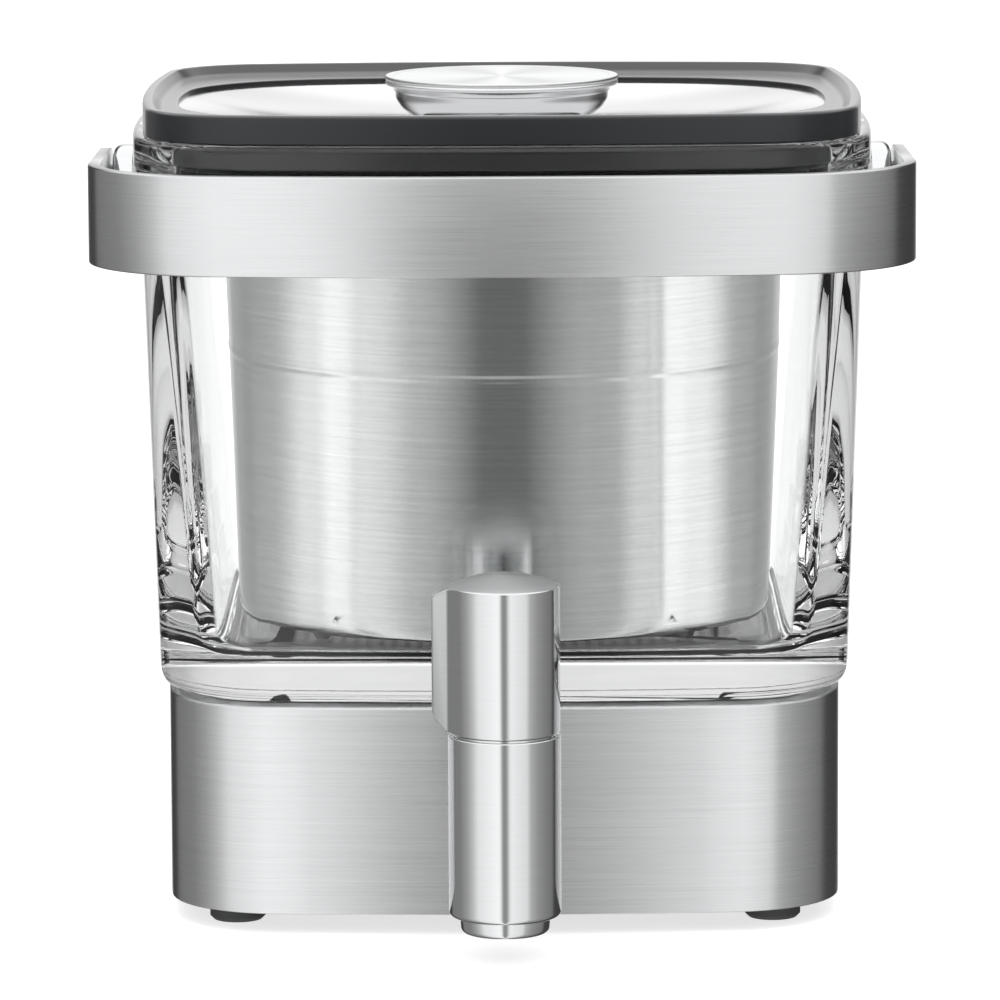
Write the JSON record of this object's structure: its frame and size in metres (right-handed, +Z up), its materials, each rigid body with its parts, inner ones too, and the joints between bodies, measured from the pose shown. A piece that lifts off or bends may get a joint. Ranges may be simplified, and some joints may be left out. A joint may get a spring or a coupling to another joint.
{
  "type": "cold brew coffee maker",
  "caption": "Clear glass cold brew coffee jar on a steel base, with a front tap, a swinging carry handle, a lift-out steel steeper and a black lid with a round steel knob.",
  "frame": {"origin": "on the table, in the middle of the whole object's footprint", "axes": "+Z up, the tap and the bar of the handle towards -Y, the handle's pivot axis along X"},
  "size_m": [0.2192, 0.2165, 0.2212],
  "materials": {
    "steel_brushed": "fine level brushing",
    "steel_polished": "polished stainless steel",
    "steel_plain": "plain machined",
    "glass_clear": "clear and thick",
    "plastic_black": "satin",
    "plastic_pale": "plain",
    "rubber_grey": "matt"
  },
  "bodies": {
    "jar_and_base": {"base_skirt": "steel_brushed", "base_frame": "plastic_black", "base_plate": "plastic_black", "base_feet": "rubber_grey", "base_screws": "steel_plain", "jar_seat": "rubber_grey", "glass_jar": "glass_clear", "collar_liner": "rubber_grey", "neck_collar": "steel_brushed", "pivot_bosses": "steel_polished", "pivot_pins": "steel_plain", "pivot_washers": "plastic_pale", "tap_body": "steel_polished", "tap_ring": "steel_polished", "tap_nozzle": "steel_polished", "tap_shank": "steel_plain", "shank_gasket": "rubber_grey", "shank_nut": "steel_plain", "drain_fitting": "steel_plain", "drain_gaskets": "rubber_grey", "drain_nut": "steel_plain", "feed_elbow": "plastic_black"},
    "carry_handle": {"carry_handle": "steel_brushed", "handle_bushes": "plastic_pale"},
    "steeper": {"steeper_wall": "steel_polished", "steeper_foot": "steel_polished", "steeper_screen": "steel_polished", "screen_ring": "steel_polished", "steeper_feet": "steel_polished", "steeper_grip": "steel_polished", "grip_rivets": "steel_polished"},
    "lid": {"lid_frame": "plastic_black", "lid_pan": "steel_polished", "lid_cover": "plastic_black", "lid_gasket": "rubber_grey", "knob_disc": "steel_polished", "knob_bowl": "steel_polished", "knob_screw": "steel_plain"},
    "tap_handle": {"tap_handle": "steel_polished", "valve_plug": "steel_plain", "valve_seals": "rubber_grey", "tap_grub_screw": "steel_plain"}
  },
  "joints": [
    {"name": "handle_swing", "type": "hinge", "parent": "jar_and_base", "child": "carry_handle", "pos_m": [0, 0.01839, 0.1897], "axis": [-1, 0, 0], "range_deg": [0, 90]},
    {"name": "steeper_lift", "type": "slide", "parent": "jar_and_base", "child": "steeper", "axis": [0, 0, 1], "range_m": [0, 0.22]},
    {"name": "lid_lift", "type": "slide", "parent": "steeper", "child": "lid", "axis": [0, 0, 1], "range_m": [0, 0.11]},
    {"name": "tap_turn", "type": "hinge", "parent": "jar_and_base", "child": "tap_handle", "pos_m": [0, -0.09361, 0.06], "axis": [0, 0, 1], "range_deg": [0, 90]}
  ]
}
